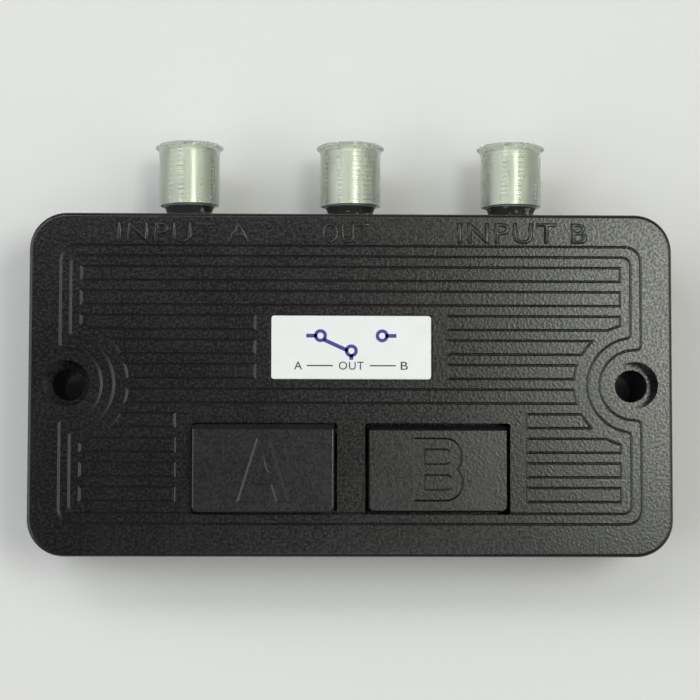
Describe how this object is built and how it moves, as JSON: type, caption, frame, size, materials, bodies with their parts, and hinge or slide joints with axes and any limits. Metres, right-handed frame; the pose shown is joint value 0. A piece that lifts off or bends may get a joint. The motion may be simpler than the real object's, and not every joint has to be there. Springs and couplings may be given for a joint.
{
  "type": "coaxial antenna switch",
  "caption": "Flat black A/B switch box with interlocked push keys, three capped F ports on one long side and counterbored wall mounting holes.",
  "frame": {"origin": "on the flat back of the case, midway between the two mounting holes", "axes": "+X to the right along the long side, +Y towards the three ports, +Z out of the face with the keys"},
  "size_m": [0.1042, 0.0685, 0.0248],
  "materials": {
    "case_black": "black ABS, fine spark-eroded texture, slight gloss",
    "key_black": "black ABS, smoother than the case, rounded edges",
    "label_white": "white plate with a satin face",
    "screw_steel": "zinc plated",
    "chassis_steel": "zinc plated sheet",
    "tinplate": "bright tin plate",
    "port_nickel": "nickel plated, slightly dull",
    "insulator_white": "milky polyethylene",
    "contact_brass": "brass and phosphor bronze",
    "spring_steel": "bright spring steel",
    "board_laminate": "brown phenolic board",
    "copper": "copper foil under lacquer",
    "solder": "solder",
    "resistor_ceramic": "lacquered resistor bodies",
    "slider_acetal": "natural acetal",
    "cap_clear": "thin soft vinyl, nearly clear, slightly milky",
    "inner_black": "plain black plastic"
  },
  "bodies": {
    "case": {"board_screws": "screw_steel", "board_spacers": "contact_brass", "board_tracks": "copper", "bottom_cover": "case_black", "chassis_plate": "chassis_steel", "chassis_screws": "screw_steel", "circuit_board": "board_laminate", "contact_strip_a": "contact_brass", "contact_strip_b": "contact_brass", "contact_strip_common": "contact_brass", "cover_screws": "screw_steel", "detent_spring": "spring_steel", "guide_screws": "screw_steel", "key_guide": "inner_black", "label_plate": "label_white", "pin_clips": "spring_steel", "port_a_contact": "contact_brass", "port_a_insulator": "insulator_white", "port_a_shell": "port_nickel", "port_b_contact": "contact_brass", "port_b_insulator": "insulator_white", "port_b_shell": "port_nickel", "port_nuts": "port_nickel", "port_out_contact": "contact_brass", "port_out_insulator": "insulator_white", "port_out_shell": "port_nickel", "port_washers": "screw_steel", "rocker_pin": "spring_steel", "shield_can": "tinplate", "slider_housing": "tinplate", "solder_joints": "solder", "termination_resistors": "resistor_ceramic", "top_cover": "case_black"},
    "key_a": {"key_a": "key_black"},
    "key_b": {"key_b": "key_black"},
    "rocker": {"rocker": "inner_black"},
    "slider": {"contact_slider": "slider_acetal", "bridge_contacts": "contact_brass"},
    "cap_a": {"port_a_cap": "cap_clear"},
    "cap_out": {"port_out_cap": "cap_clear"},
    "cap_b": {"port_b_cap": "cap_clear"}
  },
  "joints": [
    {"name": "key_a_slide", "type": "slide", "parent": "case", "child": "key_a", "axis": [0, 0, -1], "range_m": [0, 0.004]},
    {"name": "key_b_slide", "type": "slide", "parent": "case", "child": "key_b", "axis": [0, 0, 1], "range_m": [0, 0.00401]},
    {"name": "rocker_swing", "type": "hinge", "parent": "case", "child": "rocker", "pos_m": [0, -0.013, 0.0066], "axis": [0, -1, 0], "range_deg": [0, 16.45]},
    {"name": "slider_shift", "type": "slide", "parent": "case", "child": "slider", "axis": [-1, 0, 0], "range_m": [0, 0.0023]},
    {"name": "cap_a_pull", "type": "slide", "parent": "case", "child": "cap_a", "axis": [0, 1, 0], "range_m": [0, 0.0105]},
    {"name": "cap_out_pull", "type": "slide", "parent": "case", "child": "cap_out", "axis": [0, 1, 0], "range_m": [0, 0.0105]},
    {"name": "cap_b_pull", "type": "slide", "parent": "case", "child": "cap_b", "axis": [0, 1, 0], "range_m": [0, 0.0105]}
  ],
  "couplings": [
    {"joint": "key_b_slide", "follows": "key_a_slide", "ratio": 1},
    {"joint": "rocker_swing", "follows": "key_a_slide", "rad_per_m": 71.674},
    {"joint": "slider_shift", "follows": "key_a_slide", "ratio": 0.57143}
  ]
}
